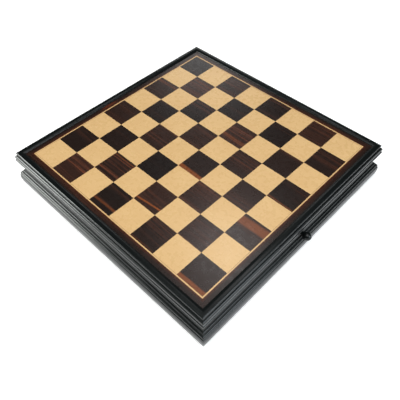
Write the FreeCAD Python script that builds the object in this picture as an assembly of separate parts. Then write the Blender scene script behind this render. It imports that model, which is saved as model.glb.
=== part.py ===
"""Chess set in a storage board: a mitred, moulded case with one drawer, a veneered playing board, and
thirty-two turned men that lie in the drawer's divided tray.

Frame: origin on the table plane at the centre of the playing field, +X along the drawer front, +Y away
from the drawer front, +Z up. Units are millimetres. Offsets named `out` run outwards from the edge of
the playing field, and heights named `dz` are measured from the playing surface.
"""
import FreeCAD
import Part

import math
import os

V = FreeCAD.Vector

# ---------------------------------------------------------------- driving dimensions
SQUARE = 50.8                    # one square of the playing field, two inches
HALF_FIELD = 4 * SQUARE
BOARD_Z = 73.8                   # height of the playing surface
VENEER = 0.6                     # thickness of every veneer
BOARD_THICK = 10.0               # board core with the veneer on both faces
STRINGING = 2.8                  # width of the pale line round the field
LIP_OUT = 13.2                   # inner edge of the frame's lip
BOARD_OUT = 17.7                 # edge of the board, inside the frame's groove
GROOVE_OUT = 18.0                # bottom of the groove that holds the board
WALL_IN = 4.0                    # inner face of the case walls
FRAME_BOTTOM = -18.3             # underside of the top frame
MOULDING_BOTTOM = -72.6          # underside of the base moulding

BAIZE = BOARD_Z + MOULDING_BOTTOM                  # felt under the case, 1.2 mm
REBATE_OUT = 12.0                # rebate that takes the bottom panel
BOTTOM_THICK = 5.0
BOTTOM_TOP = BAIZE + BOTTOM_THICK
BOTTOM_OUT = 11.7
BAIZE_OUT = 20.0

FRONT_HALF = 201.2               # half the width of the drawer front
RETURN_IN = 201.7                # where the fixed ends of the front moulding begin
FRONT_TOP = BOARD_Z + FRAME_BOTTOM - 0.6           # running gap under the frame

DRAWER_HALF = 200.8              # outer faces of the drawer sides
SIDE_THICK = 8.0
SIDE_BOTTOM = BOTTOM_TOP + 0.3
SIDE_TOP = 53.9
DRAWER_FRONT_Y = -(HALF_FIELD + WALL_IN)
DRAWER_BACK_Y = 195.0
FLOOR_BOTTOM = 9.0
FLOOR_THICK = 3.6
FLOOR_GROOVE = 3.0               # depth of the groove that holds the drawer bottom
FELT = 1.0
FELT_TOP = FLOOR_BOTTOM + FLOOR_THICK + FELT
DIVIDER = 4.0
DIVIDER_TOP = 38.0
COLUMNS = 8
ROWS = 4

DRAWER_TRAVEL = 320.0            # until the cleat on the drawer meets the batten under the board
CLEAT_FRONT_Y = DRAWER_BACK_Y - SIDE_THICK
BATTEN_FRONT_Y = CLEAT_FRONT_Y - DRAWER_TRAVEL - 15.2

KNOB_Z = BOARD_Z - 31.0
KNOB_SEAT_OUT = 20.4
KNOB_BALL_OUT = 35.2
KNOB_BALL_R = 7.6
KNOB_SCREW_R = 1.6

INNER_HALF = DRAWER_HALF - SIDE_THICK
TRAY_FRONT_Y = DRAWER_FRONT_Y
TRAY_BACK_Y = DRAWER_BACK_Y - SIDE_THICK
CELL_X = 2 * INNER_HALF / COLUMNS
CELL_Y = (TRAY_BACK_Y - TRAY_FRONT_Y) / ROWS
FOOT_GAP = 1.5                   # between a man's foot and the end of his pocket
TOUCH = 0.05                     # gap under a man, so that he lies on the felt without cutting it


# ---------------------------------------------------------------- helpers
def box(x0, x1, y0, y1, z0, z1):
    return Part.makeBox(x1 - x0, y1 - y0, z1 - z0, V(x0, y0, z0))


def turned_quarters(shape, quarters):
    """A copy of the shape, turned about the vertical axis by that many quarter turns."""
    copy = shape.copy()
    copy.rotate(V(0, 0, 0), V(0, 0, 1), 90 * quarters)
    return copy


def outline_edges(steps, point):
    """Edges of a closed outline. A step is (a, b) for a straight line to that point, or
    (a via, b via, a, b) for an arc that passes through the first point. `point` makes the vectors."""
    edges = []
    here = point(*steps[0][-2:])
    first = here
    for step in steps[1:]:
        there = point(*step[-2:])
        if len(step) == 4:
            edges.append(Part.Arc(here, point(*step[:2]), there).toShape())
        else:
            edges.append(Part.LineSegment(here, there).toShape())
        here = there
    if here.distanceToPoint(first) > 1e-6:
        edges.append(Part.LineSegment(here, first).toShape())
    return edges


def mitred_moulding(section):
    """The moulding along the front, cut at 45 degrees at both ends. Section steps are (out, dz)."""
    reach = HALF_FIELD + 60.0
    edges = outline_edges(section, lambda out, dz: V(-reach, -(HALF_FIELD + out), BOARD_Z + dz))
    bar = Part.Face(Part.Wire(edges)).extrude(V(2 * reach, 0, 0))
    corners = [V(0, 0, -1), V(-reach, -reach, -1), V(reach, -reach, -1), V(0, 0, -1)]
    wedge = Part.Face(Part.makePolygon(corners)).extrude(V(0, 0, BOARD_Z + 20))
    return bar.common(wedge)


def turned(profile):
    """A solid of revolution about Z. Profile steps are (radius, height) or arcs, as in an outline."""
    edges = outline_edges(profile, lambda r, h: V(r, 0, h))
    return Part.Face(Part.Wire(edges)).revolve(V(0, 0, 0), V(0, 0, 1), 360)


def dome(radius, z0, z1):
    """Arc step of a ball end, from that radius at height z0 to the axis at height z1."""
    rise = z1 - z0
    ball = (radius * radius + rise * rise) / (2 * rise)
    middle = z1 - ball
    half_angle = math.acos((z0 - middle) / ball) / 2
    return (ball * math.sin(half_angle), middle + ball * math.cos(half_angle), 0, z1)


def tidy(shape):
    """One solid, or a compound of the solids in the shape, with split faces joined again."""
    shape = shape.removeSplitter()
    solids = shape.Solids
    return solids[0] if len(solids) == 1 else Part.makeCompound(solids)


def cross_recess(span, depth):
    """The cross that a screwdriver fits, sunk from Z = 0 down."""
    bar = box(-span / 2, span / 2, -0.45, 0.45, -depth, 1.0)
    return bar.fuse(turned_quarters(bar, 1))


def countersunk_screw(length, head_r, shank_r):
    """Screw along -Z with its head's face at the origin."""
    head_h = head_r - shank_r
    body = turned([
        (0, 0), (head_r, 0), (shank_r, -head_h), (shank_r, -length + 1.5), (0, -length),
    ])
    return body.cut(cross_recess(head_r * 1.1, 1.4))


# ---------------------------------------------------------------- playing board
def field_squares(dark):
    """The veneer squares of one colour. The square at the front left corner is dark."""
    squares = []
    for column in range(8):
        for row in range(8):
            if ((column + row) % 2 == 0) == dark:
                x = -HALF_FIELD + column * SQUARE
                y = -HALF_FIELD + row * SQUARE
                squares.append(box(x, x + SQUARE, y, y + SQUARE, BOARD_Z - VENEER, BOARD_Z))
    return Part.makeCompound(squares)


def veneer_ring(out_inner, out_outer):
    """Four mitred strips of veneer round the field."""
    strip = mitred_moulding([
        (out_inner, -VENEER), (out_outer, -VENEER), (out_outer, 0), (out_inner, 0),
    ])
    return Part.makeCompound([turned_quarters(strip, n) for n in range(4)])


def board_panel(z0, z1):
    edge = HALF_FIELD + BOARD_OUT
    return box(-edge, edge, -edge, edge, z0, z1)


# ---------------------------------------------------------------- mouldings
FRAME_SECTION = [
    (LIP_OUT, 0.0),
    (LIP_OUT, 0.6),
    (13.5, 1.2, 14.4, 1.7),              # tight round at the sight edge
    (16.4, 2.8, 18.8, 3.3),              # long slope up to the rim
    (22.4, 3.3),                         # flat rim
    (24.5, 2.2, 24.7, -0.6),             # first bead
    (24.6, -2.4, 24.0, -3.6),
    (24.9, -4.0),
    (27.2, -5.6, 27.9, -8.0),            # second bead
    (27.8, -10.4, 26.9, -12.0),
    (27.3, -12.4),
    (28.6, -14.2, 28.5, -16.2),          # third bead
    (28.2, -17.6, 27.2, FRAME_BOTTOM),
    (WALL_IN, FRAME_BOTTOM),
    (WALL_IN, -BOARD_THICK - 0.2),
    (GROOVE_OUT, -BOARD_THICK - 0.2),
    (GROOVE_OUT, 0.0),
]

WALL_FACE = [
    (22.4, FRAME_BOTTOM),
    (20.2, -29.5, 23.2, -41.2),          # cove
    (25.2, -41.9, 25.8, -44.0),          # small bead under the cove
    (26.2, -44.6),
    (28.9, -46.2, 29.6, -49.0),          # round shoulder
    (29.4, -50.9),
    (30.4, -51.6),
    (31.3, -59.5, 30.5, -67.0),          # wide swelling of the base
    (29.8, -70.6, 28.0, MOULDING_BOTTOM),
]


def wall_section(rebated):
    inner = [(REBATE_OUT, MOULDING_BOTTOM), (REBATE_OUT, MOULDING_BOTTOM + BOTTOM_THICK),
             (WALL_IN, MOULDING_BOTTOM + BOTTOM_THICK)]
    if not rebated:
        inner = [(WALL_IN, MOULDING_BOTTOM)]
    return WALL_FACE + inner + [(WALL_IN, FRAME_BOTTOM)]


def frame_member(quarters):
    return turned_quarters(mitred_moulding(FRAME_SECTION), quarters)


def wall_member(quarters):
    return turned_quarters(mitred_moulding(wall_section(True)), quarters)


def front_moulding(x0, x1, top):
    """A length of the front moulding between two cuts across it."""
    reach = HALF_FIELD + 60.0
    span = box(x0, x1, -reach, 0, 0, top)
    return mitred_moulding(wall_section(False)).common(span)


# ---------------------------------------------------------------- case fittings
def bottom_panel():
    edge = HALF_FIELD + BOTTOM_OUT
    return box(-edge, edge, DRAWER_FRONT_Y + 0.3, edge, BAIZE, BOTTOM_TOP)


def baize_sheet():
    edge = HALF_FIELD + BAIZE_OUT
    return box(-edge, edge, DRAWER_FRONT_Y + 0.3, edge, 0, BAIZE)


def bottom_screws():
    """Screws that hold the bottom panel up into the three fixed walls."""
    screw = countersunk_screw(18.0, 3.2, 1.5)
    screw.rotate(V(0, 0, 0), V(1, 0, 0), 180)
    line = HALF_FIELD + 8.0
    places = []
    for along in (-150.0, 0.0, 150.0):
        places += [(-line, along), (line, along), (along, line)]
    screws = []
    for x, y in places:
        one = screw.copy()
        one.translate(V(x, y, BAIZE))
        screws.append(one)
    return Part.makeCompound(screws)


def glue_blocks():
    """Triangular blocks in the four inner corners, outside the drawer's path."""
    corner = HALF_FIELD + WALL_IN
    blocks = []
    for sx, sy, leg in ((1, 1, 11.0), (-1, 1, 11.0), (1, -1, 5.4), (-1, -1, 5.4)):
        points = [V(sx * corner, sy * corner, 20), V(sx * (corner - leg), sy * corner, 20),
                  V(sx * corner, sy * (corner - leg), 20)]
        block = Part.Face(Part.makePolygon(points + points[:1])).extrude(V(0, 0, 30))
        blocks.append(block)
    return Part.makeCompound(blocks)


def drawer_guide(side):
    """Strip that steers the drawer along one wall. side is -1 for left, 1 for right."""
    near, far = sorted((side * (DRAWER_HALF + 0.4), side * (HALF_FIELD + WALL_IN)))
    return box(near, far, -198, 194, BOTTOM_TOP, BOTTOM_TOP + 10)


def rear_stops():
    """Two blocks that the closed drawer's back rests against."""
    wall = HALF_FIELD + WALL_IN
    return Part.makeCompound([
        box(x - 15, x + 15, DRAWER_BACK_Y, wall, BOTTOM_TOP, BOTTOM_TOP + 14) for x in (-120, 120)
    ])


def stop_batten():
    """Batten under the board that the drawer's cleat meets at full travel."""
    return box(-160, 160, BATTEN_FRONT_Y, BATTEN_FRONT_Y + 15, 56.6, BOARD_Z - BOARD_THICK)


# ---------------------------------------------------------------- drawer
def drawer_front():
    front = front_moulding(-FRONT_HALF, FRONT_HALF, FRONT_TOP)
    groove = box(-INNER_HALF - FLOOR_GROOVE, INNER_HALF + FLOOR_GROOVE,
                 TRAY_FRONT_Y - FLOOR_GROOVE, 0, FLOOR_BOTTOM, FLOOR_BOTTOM + FLOOR_THICK)
    seat = Part.makeCylinder(5.7, 12, V(0, -HALF_FIELD - KNOB_SEAT_OUT, KNOB_Z), V(0, -1, 0))
    return front.cut(groove).cut(seat).cut(knob_screw())


def floor_slab():
    """The drawer bottom, which reaches into the grooves of the front, the sides and the back."""
    x = INNER_HALF + FLOOR_GROOVE
    return box(-x, x, TRAY_FRONT_Y - FLOOR_GROOVE, TRAY_BACK_Y + FLOOR_GROOVE,
               FLOOR_BOTTOM, FLOOR_BOTTOM + FLOOR_THICK)


def drawer_side(side):
    x0, x1 = sorted((side * INNER_HALF, side * DRAWER_HALF))
    plank = box(x0, x1, DRAWER_FRONT_Y, DRAWER_BACK_Y, SIDE_BOTTOM, SIDE_TOP)
    return plank.cut(floor_slab())


def drawer_back():
    plank = box(-INNER_HALF, INNER_HALF, TRAY_BACK_Y, DRAWER_BACK_Y, SIDE_BOTTOM, SIDE_TOP)
    return plank.cut(floor_slab())


def stop_cleat():
    return box(-60, 60, CLEAT_FRONT_Y, DRAWER_BACK_Y, SIDE_TOP, 60.0)


def tray_felt():
    return box(-INNER_HALF, INNER_HALF, TRAY_FRONT_Y, TRAY_BACK_Y, FELT_TOP - FELT, FELT_TOP)


def long_dividers():
    """Seven strips from front to back, notched from the top where the cross dividers pass."""
    mid = (FELT_TOP + DIVIDER_TOP) / 2
    strips = []
    for n in range(1, COLUMNS):
        x = -INNER_HALF + n * CELL_X
        strip = box(x - DIVIDER / 2, x + DIVIDER / 2, TRAY_FRONT_Y, TRAY_BACK_Y, FELT_TOP, DIVIDER_TOP)
        for m in range(1, ROWS):
            y = TRAY_FRONT_Y + m * CELL_Y
            strip = strip.cut(box(x - DIVIDER, x + DIVIDER, y - DIVIDER / 2, y + DIVIDER / 2,
                                  mid, DIVIDER_TOP + 1))
        strips.append(strip)
    return Part.makeCompound(strips)


def cross_dividers():
    """Three strips across the tray, notched from below where the long dividers pass."""
    mid = (FELT_TOP + DIVIDER_TOP) / 2
    strips = []
    for m in range(1, ROWS):
        y = TRAY_FRONT_Y + m * CELL_Y
        strip = box(-INNER_HALF, INNER_HALF, y - DIVIDER / 2, y + DIVIDER / 2, FELT_TOP, DIVIDER_TOP)
        for n in range(1, COLUMNS):
            x = -INNER_HALF + n * CELL_X
            strip = strip.cut(box(x - DIVIDER / 2, x + DIVIDER / 2, y - DIVIDER, y + DIVIDER,
                                  FELT_TOP - 1, mid))
        strips.append(strip)
    return Part.makeCompound(strips)


def knob_blank():
    """Turned knob along +Z, with its back face at the origin."""
    ball = KNOB_BALL_OUT - KNOB_SEAT_OUT
    shoulder = 4.6
    meeting = ball - math.sqrt(KNOB_BALL_R ** 2 - shoulder ** 2)
    return turned([
        (0, 0), (5.6, 0), (5.6, 1.4), (5.2, 2.2),
        (3.5, 3.6, 3.3, 5.6),                          # neck
        (shoulder, meeting), dome(shoulder, meeting, ball + KNOB_BALL_R),
    ])


def knob_screw():
    """Pan-head screw from inside the drawer front into the knob."""
    head_h = 2.0
    shank_length = KNOB_SEAT_OUT - WALL_IN + 9.0
    head = turned([(0, 0), (3.6, 0), (3.7, 1.0, 3.0, 1.7), dome(3.0, 1.7, head_h)])
    shank = Part.makeCylinder(KNOB_SCREW_R, shank_length, V(0, 0, -shank_length))
    recess = cross_recess(3.6, 1.2)
    recess.translate(V(0, 0, head_h))
    screw = head.fuse(shank).cut(recess).removeSplitter()
    screw.rotate(V(0, 0, 0), V(1, 0, 0), -90)
    screw.translate(V(0, TRAY_FRONT_Y, KNOB_Z))
    return screw


def drawer_knob():
    knob = knob_blank()
    knob.rotate(V(0, 0, 0), V(1, 0, 0), 90)
    knob.translate(V(0, -HALF_FIELD - KNOB_SEAT_OUT, KNOB_Z))
    return knob.cut(knob_screw())


# ---------------------------------------------------------------- men
# A man's profile is written for a foot of radius `foot` and reads upwards from the table.
def turned_foot(foot):
    """The foot that all the men share: felt edge, round plinth, step and swept skirt."""
    return [
        (0, 0), (foot - 0.8, 0), (foot, 0.9),
        (foot + 0.1, 2.6, foot - 0.9, 4.0),
        (foot - 1.6, 4.3),
        (foot - 1.4, 6.2, foot - 3.2, 7.2),
        (foot - 3.8, 7.6),
    ]


def pawn_profile(foot, height):
    neck = height - 12.8
    return turned_foot(foot) + [
        (foot - 8.0, 12.0, 4.6, neck - 3.4),
        (7.6, neck - 2.6), (8.3, neck - 1.8, 7.4, neck - 0.9), (4.4, neck + 0.2),
        (4.2, neck + 1.6), dome(4.2, neck + 1.6, height),
    ]


def rook_profile(foot, height):
    tower = height - 15.0
    return turned_foot(foot) + [
        (foot - 7.2, 13.0, 7.6, tower - 4.6),
        (10.2, tower - 3.6), (10.8, tower - 2.6, 9.9, tower - 1.6), (8.4, tower - 1.0),
        (8.2, tower + 3.6, 10.6, tower + 7.4),
        (11.2, height), (7.8, height), (7.8, height - 5.0), (0, height - 5.0),
    ]


def bishop_profile(foot, height):
    collar = height - 26.0
    return turned_foot(foot) + [
        (foot - 9.0, 15.0, 4.8, collar - 4.2),
        (8.6, collar - 3.2), (9.3, collar - 2.3, 8.4, collar - 1.4), (5.8, collar - 0.4),
        (7.0, collar + 0.6), (7.4, collar + 1.3, 6.8, collar + 2.0), (4.4, collar + 3.2),
        (8.4, collar + 12.4, 2.2, height - 4.6),
        (1.6, height - 4.2), dome(1.6, height - 4.2, height),
    ]


def queen_profile(foot, height):
    collar = height - 27.0
    return turned_foot(foot) + [
        (foot - 10.4, 18.0, 5.2, collar - 4.4),
        (9.8, collar - 3.4), (10.5, collar - 2.4, 9.5, collar - 1.4), (6.6, collar - 0.4),
        (8.0, collar + 0.6), (8.4, collar + 1.4, 7.7, collar + 2.2), (5.0, collar + 3.4),
        (6.0, collar + 13.0, 9.8, height - 7.2),
        (9.2, height - 5.6), (7.6, height - 6.0),
        (6.2, height - 4.6, 2.2, height - 4.4),
        (2.0, height - 4.2), dome(2.0, height - 4.2, height),
    ]


def king_profile(foot, height):
    collar = height - 36.0
    crown = height - 12.0
    return turned_foot(foot) + [
        (foot - 11.4, 19.0, 5.6, collar - 4.6),
        (10.6, collar - 3.6), (11.4, collar - 2.5, 10.3, collar - 1.4), (7.2, collar - 0.4),
        (8.8, collar + 0.6), (9.2, collar + 1.5, 8.4, collar + 2.4), (5.6, collar + 3.6),
        (6.4, collar + 13.0, 10.2, crown - 4.2),
        (9.4, crown - 2.6),
        (6.4, crown - 0.6, 2.8, crown),
        (1.8, crown + 1.2), (0, crown + 1.2),
    ]


def knight_profile(foot, height):
    """The turned foot that carries the knight's carved head."""
    return turned_foot(foot) + [
        (foot - 5.0, 10.0, 8.6, KNIGHT_COLLAR - 2.6),
        (10.6, KNIGHT_COLLAR - 1.9), (11.2, KNIGHT_COLLAR - 1.0, 10.4, KNIGHT_COLLAR),
        (0, KNIGHT_COLLAR),
    ]


def king_cross(height):
    """Cross pattee on the king's crown, a flat plate with flared arms."""
    foot_z = height - 11.2
    centre = height - 5.4
    half = [
        (1.3, foot_z), (1.0, centre - 1.3), (4.6, centre - 2.2),
        (4.6, centre + 2.2), (1.0, centre + 1.3), (2.4, height),
    ]
    points = [V(x, -1.5, z) for x, z in half] + [V(-x, -1.5, z) for x, z in reversed(half)]
    return Part.Face(Part.makePolygon(points + points[:1])).extrude(V(0, 3, 0))


def rook_notches(height):
    """Four gaps in the battlement."""
    bar = box(-13, 13, -1.6, 1.6, height - 3.2, height + 1)
    return bar.fuse(turned_quarters(bar, 1))


def bishop_cut(height):
    """The slanting cut in the mitre."""
    cut = box(0, 14, -10, 10, -0.6, 0.6)
    cut.rotate(V(0, 0, 0), V(0, 1, 0), -52)
    cut.translate(V(1.2, 0, height - 15.0))
    return cut


def queen_notches(height):
    """Eight shallow scallops round the rim of the coronet."""
    cutters = []
    for n in range(8):
        angle = math.radians(22.5 + 45 * n)
        direction = V(math.cos(angle), math.sin(angle), 0)
        cutters.append(Part.makeCylinder(1.5, 8, V(0, 0, height - 5.2) + direction * 5.5, direction))
    return cutters


# The horse's head in side view, facing +X. Each point is (x, height above the collar).
HORSE = [
    (-8.6, 0.0),
    (-9.6, 12.0, -5.4, 24.0),            # crest of the neck
    (-2.6, 30.5, 1.2, 36.0),             # mane up to the ear
    (2.6, 41.0),                         # ear tip
    (4.8, 36.4),
    (8.2, 33.0, 11.0, 27.6),             # brow
    (13.4, 23.4, 14.0, 18.6),            # nose
    (13.6, 16.2, 11.4, 15.6),            # muzzle
    (8.6, 17.2, 6.4, 19.6),              # jaw
    (3.8, 19.8, 3.4, 16.6),              # throat
    (4.4, 12.0, 7.6, 7.0),               # chest
    (9.4, 3.4, 8.8, 0.0),
]
# Half thickness of the head at a share of its height.
HORSE_HALF = [(9.0, 0), (8.2, 0.22), (7.2, 0.45), (6.0, 0.75), (3.4, 1.02)]


def horse_head(height):
    """Carved head: the side outline, thinned from the collar up to the ears."""
    span = height - KNIGHT_COLLAR
    edges = outline_edges(HORSE, lambda x, h: V(x * 0.88, -8.0, KNIGHT_COLLAR + h * span / 41.0))
    slab = Part.Face(Part.Wire(edges)).extrude(V(0, 16, 0))
    points = [V(-14, y, KNIGHT_COLLAR - 0.5 + t * span) for y, t in HORSE_HALF]
    points += [V(-14, -y, KNIGHT_COLLAR - 0.5 + t * span) for y, t in reversed(HORSE_HALF)]
    front_view = Part.Face(Part.makePolygon(points + points[:1])).extrude(V(30, 0, 0))
    return slab.common(front_view)


KNIGHT_COLLAR = 15.0
MEN = {                                  # foot radius, height, profile
    "king": (18.0, 88.0, king_profile),
    "queen": (16.5, 78.0, queen_profile),
    "bishop": (15.0, 67.0, bishop_profile),
    "knight": (15.0, 59.0, knight_profile),
    "rook": (15.0, 50.0, rook_profile),
    "pawn": (13.5, 44.0, pawn_profile),
}
BACK_ROW = ["rook", "knight", "bishop", "queen", "king", "bishop", "knight", "rook"]


def make_man(kind):
    """One man standing on the origin, a knight without his head, which is a separate carving."""
    foot, height, profile = MEN[kind]
    man = turned(profile(foot, height))
    if kind == "rook":
        return man.cut(rook_notches(height))
    if kind == "bishop":
        return man.cut(bishop_cut(height))
    if kind == "queen":
        return man.cut(queen_notches(height))
    if kind == "king":
        return man.fuse(king_cross(height)).removeSplitter()
    return man


def resting_tilt(kind):
    """How far a man laid on his side leans over the rim of his foot before the first of his wider
    parts meets the felt, in degrees."""
    foot, height, profile = MEN[kind]
    widths = [step[-2:] for step in profile(foot, height)]
    if kind == "knight":
        widths += [(y, KNIGHT_COLLAR + t * (height - KNIGHT_COLLAR)) for y, t in HORSE_HALF]
    return min(math.degrees(math.atan2(foot - r, z - 0.9)) for r, z in widths if z > 8)


def lying(kind, head_to_back):
    """The pieces of a man on his side, with the head towards +Y or -Y and the foot at Y = 0, just clear
    of Z = 0."""
    pieces = [make_man(kind)]
    if kind == "knight":
        pieces.append(horse_head(MEN[kind][1]))
    man = Part.makeCompound(pieces)
    if kind in ("king", "bishop"):
        man.rotate(V(0, 0, 0), V(0, 0, 1), 90)
    man.rotate(V(0, 0, 0), V(1, 0, 0), -90 - resting_tilt(kind))
    if not head_to_back:
        man.rotate(V(0, 0, 0), V(0, 0, 1), 180)
    bounds = man.optimalBoundingBox(False)
    foot_y = bounds.YMin if head_to_back else bounds.YMax
    man.translate(V(-bounds.Center.x, -foot_y, TOUCH - bounds.ZMin))
    return man.Solids


def foot_place(column, row):
    """Where the foot of a man goes: by the front end of the two front rows, the back end of the others."""
    x = -INNER_HALF + (column + 0.5) * CELL_X
    if row < ROWS / 2:
        return V(x, TRAY_FRONT_Y + row * CELL_Y + DIVIDER / 2 + FOOT_GAP, FELT_TOP)
    return V(x, TRAY_FRONT_Y + (row + 1) * CELL_Y - DIVIDER / 2 - FOOT_GAP, FELT_TOP)


def men_nodes():
    """Node name to shape. The pale men lie in the two front rows and the dark men in the two back rows."""
    nodes = {}
    for wood, major_row, pawn_row in (("maple", 0, 1), ("ebony", 3, 2)):
        for kind in MEN:
            pieces = lying(kind, wood == "maple")
            columns = [n for n, name in enumerate(BACK_ROW) if name == kind]
            row = major_row
            if kind == "pawn":
                columns = range(COLUMNS)
                row = pawn_row
            names = [kind + ("s" if len(columns) > 1 else "")]
            if kind == "knight":
                names = ["knight_feet", "knight_heads"]
            for name, piece in zip(names, pieces):
                placed = []
                for column in columns:
                    one = piece.copy()
                    one.translate(foot_place(column, row))
                    placed.append(one)
                nodes[wood + "_" + name] = placed[0] if len(placed) == 1 else Part.makeCompound(placed)
    return nodes


# ---------------------------------------------------------------- assembly
def build():
    screws = bottom_screws()
    nodes = {
        "board_core": board_panel(BOARD_Z - BOARD_THICK + VENEER, BOARD_Z - VENEER),
        "backing_veneer": board_panel(BOARD_Z - BOARD_THICK, BOARD_Z - BOARD_THICK + VENEER),
        "dark_squares": field_squares(True),
        "light_squares": field_squares(False),
        "stringing_line": veneer_ring(0, STRINGING),
        "border_veneer": veneer_ring(STRINGING, BOARD_OUT),
        "bottom_panel": bottom_panel().cut(screws),
        "bottom_baize": baize_sheet(),
        "bottom_screws": screws,
        "glue_blocks": glue_blocks(),
        "drawer_guide_left": drawer_guide(-1),
        "drawer_guide_right": drawer_guide(1),
        "rear_stop_blocks": rear_stops(),
        "stop_batten": stop_batten(),
        "drawer_front": tidy(drawer_front()),
        "drawer_side_left": drawer_side(-1),
        "drawer_side_right": drawer_side(1),
        "drawer_back": drawer_back(),
        "drawer_bottom": floor_slab(),
        "stop_cleat": stop_cleat(),
        "tray_felt": tray_felt(),
        "long_dividers": long_dividers(),
        "cross_dividers": cross_dividers(),
        "drawer_knob": drawer_knob(),
        "knob_screw": knob_screw(),
        "front_return_left": tidy(front_moulding(-260, -RETURN_IN, BOARD_Z + FRAME_BOTTOM)),
        "front_return_right": tidy(front_moulding(RETURN_IN, 260, BOARD_Z + FRAME_BOTTOM)),
    }
    for name, quarters in (("front", 0), ("right", 1), ("back", 2), ("left", 3)):
        nodes["frame_" + name] = frame_member(quarters)
        if name != "front":
            nodes["wall_" + name] = wall_member(quarters).cut(screws)
    nodes.update(men_nodes())
    return nodes


os.makedirs("parts", exist_ok=True)
for old in os.listdir("parts"):
    os.remove(os.path.join("parts", old))
for node, shape in build().items():
    if not shape.isValid() or any(s.Volume <= 0 for s in shape.Solids):
        print("not a valid solid:", node)
    shape.exportStep(os.path.join("parts", node + ".step"))
    print(node, len(shape.Solids), "solids", round(shape.Volume / 1000.0, 2), "cm3")
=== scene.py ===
"""Chess set in a storage board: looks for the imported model.

The CAD nodes keep their shapes and get their finishes here. The felt in the drawer, the baize under the
case and the knights' carved heads are modelled here and take the place of their CAD solids.
"""
import math
import random

import bpy
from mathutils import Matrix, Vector


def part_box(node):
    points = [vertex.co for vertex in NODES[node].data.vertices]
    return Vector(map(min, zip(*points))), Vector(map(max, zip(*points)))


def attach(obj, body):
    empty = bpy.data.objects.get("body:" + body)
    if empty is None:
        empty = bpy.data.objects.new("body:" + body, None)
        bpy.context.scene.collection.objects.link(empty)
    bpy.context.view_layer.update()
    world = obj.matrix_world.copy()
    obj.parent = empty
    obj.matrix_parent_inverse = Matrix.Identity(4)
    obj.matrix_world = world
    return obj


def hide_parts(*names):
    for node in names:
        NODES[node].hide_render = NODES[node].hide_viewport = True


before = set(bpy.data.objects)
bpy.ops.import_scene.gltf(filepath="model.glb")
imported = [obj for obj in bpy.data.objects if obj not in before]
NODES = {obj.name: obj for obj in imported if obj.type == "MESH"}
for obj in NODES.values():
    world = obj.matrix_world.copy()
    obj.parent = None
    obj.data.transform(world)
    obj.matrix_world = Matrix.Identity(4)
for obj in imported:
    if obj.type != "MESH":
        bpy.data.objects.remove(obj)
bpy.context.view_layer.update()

bl_info = {
    "name": "Chess set in a storage board",
    "version": (1, 0, 0),
    "blender": (4, 5, 0),
    "location": "View3D > Sidebar > Chess set",
    "description": "Finishes a chess set in a moulded storage board and lights it in a pale studio",
    "category": "Object",
}

MM = 1000.0                      # materials and carving measure in millimetres
FILES = 8                        # squares along a side of the field
# The playing field, in millimetres. Its top is level with the borders.
FIELD_LOW, FIELD_HIGH = [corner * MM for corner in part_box("light_squares")]
BOARD_Z = FIELD_HIGH.z
SQUARE = (FIELD_HIGH.x - FIELD_LOW.x) / FILES
HALF_FIELD = FILES / 2 * SQUARE


# ---------------------------------------------------------------- settings
def hex_setting(name, description, code):
    return bpy.props.StringProperty(name=name, description=description, default=code, maxlen=7)


class ChessBoardSettings(bpy.types.PropertyGroup):
    """Veneers of the playing board."""
    dark_ground: hex_setting("Ebony ground", "Black-brown of the ebony veneer", "#191412")
    dark_stripe: hex_setting("Ebony stripe", "Usual stripe in the ebony veneer", "#5A3527")
    dark_bright: hex_setting("Ebony bright stripe", "Brightest usual stripe", "#80452D")
    dark_sapwood: hex_setting("Ebony sapwood", "Orange-brown streaks at the edge of the log", "#9A5328")
    light_ground: hex_setting("Maple ground", "Pale gold of the maple veneer", "#DAB47F")
    light_shade: hex_setting("Maple shade", "Darker figure in the maple veneer", "#CFA66F")
    sheen: bpy.props.FloatProperty(
        name="Lacquer roughness", description="Roughness of the satin lacquer on the board",
        default=0.28, min=0.05, max=1.0, subtype="FACTOR")


class CaseSettings(bpy.types.PropertyGroup):
    """Mouldings, drawer and felt."""
    lacquer: hex_setting("Black lacquer", "Colour of the mouldings and the knob", "#0B0E0E")
    lacquer_roughness: bpy.props.FloatProperty(
        name="Lacquer roughness", description="Roughness of the black lacquer",
        default=0.24, min=0.02, max=1.0, subtype="FACTOR")
    beech: hex_setting("Beech", "Waxed beech of the drawer and fittings", "#C79B6C")
    ply: hex_setting("Ply", "Face veneer of the plywood", "#CDAA79")
    felt: hex_setting("Felt", "Green felt of the tray and the underside", "#1F4A30")
    felt_drop: bpy.props.FloatProperty(
        name="Felt unevenness", description="How far the felt's surface dips", default=0.00018,
        min=0, max=0.0005, unit="LENGTH", precision=5)


class MenSettings(bpy.types.PropertyGroup):
    """Chessmen."""
    maple: hex_setting("Maple men", "Polished maple", "#E2BE86")
    ebony: hex_setting("Ebony men", "Polished ebony", "#231A17")
    carving: bpy.props.FloatProperty(
        name="Mane depth", description="Depth of the cuts in the knights' manes", default=0.0005,
        min=0, max=0.002, unit="LENGTH", precision=4)


class StudioSettings(bpy.types.PropertyGroup):
    """Floor, light and camera."""
    floor: hex_setting("Floor", "Pale floor", "#F4F4F4")
    key_power: bpy.props.FloatProperty(
        name="Key light", description="Strength of the large overhead softbox", default=41.0, min=0)
    lens: bpy.props.FloatProperty(
        name="Lens", description="Focal length", default=42.5, min=10, max=200, unit="CAMERA")


def settings(group):
    return getattr(bpy.context.scene, "chess_" + group)


# ---------------------------------------------------------------- node helpers
def linear(code):
    """sRGB hex to a linear RGBA colour."""
    channels = [int(code[n:n + 2], 16) / 255 for n in (1, 3, 5)]
    return tuple([c / 12.92 if c <= 0.04045 else ((c + 0.055) / 1.055) ** 2.4 for c in channels] + [1.0])


def grey(value):
    return (value, value, value, 1.0)


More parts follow.
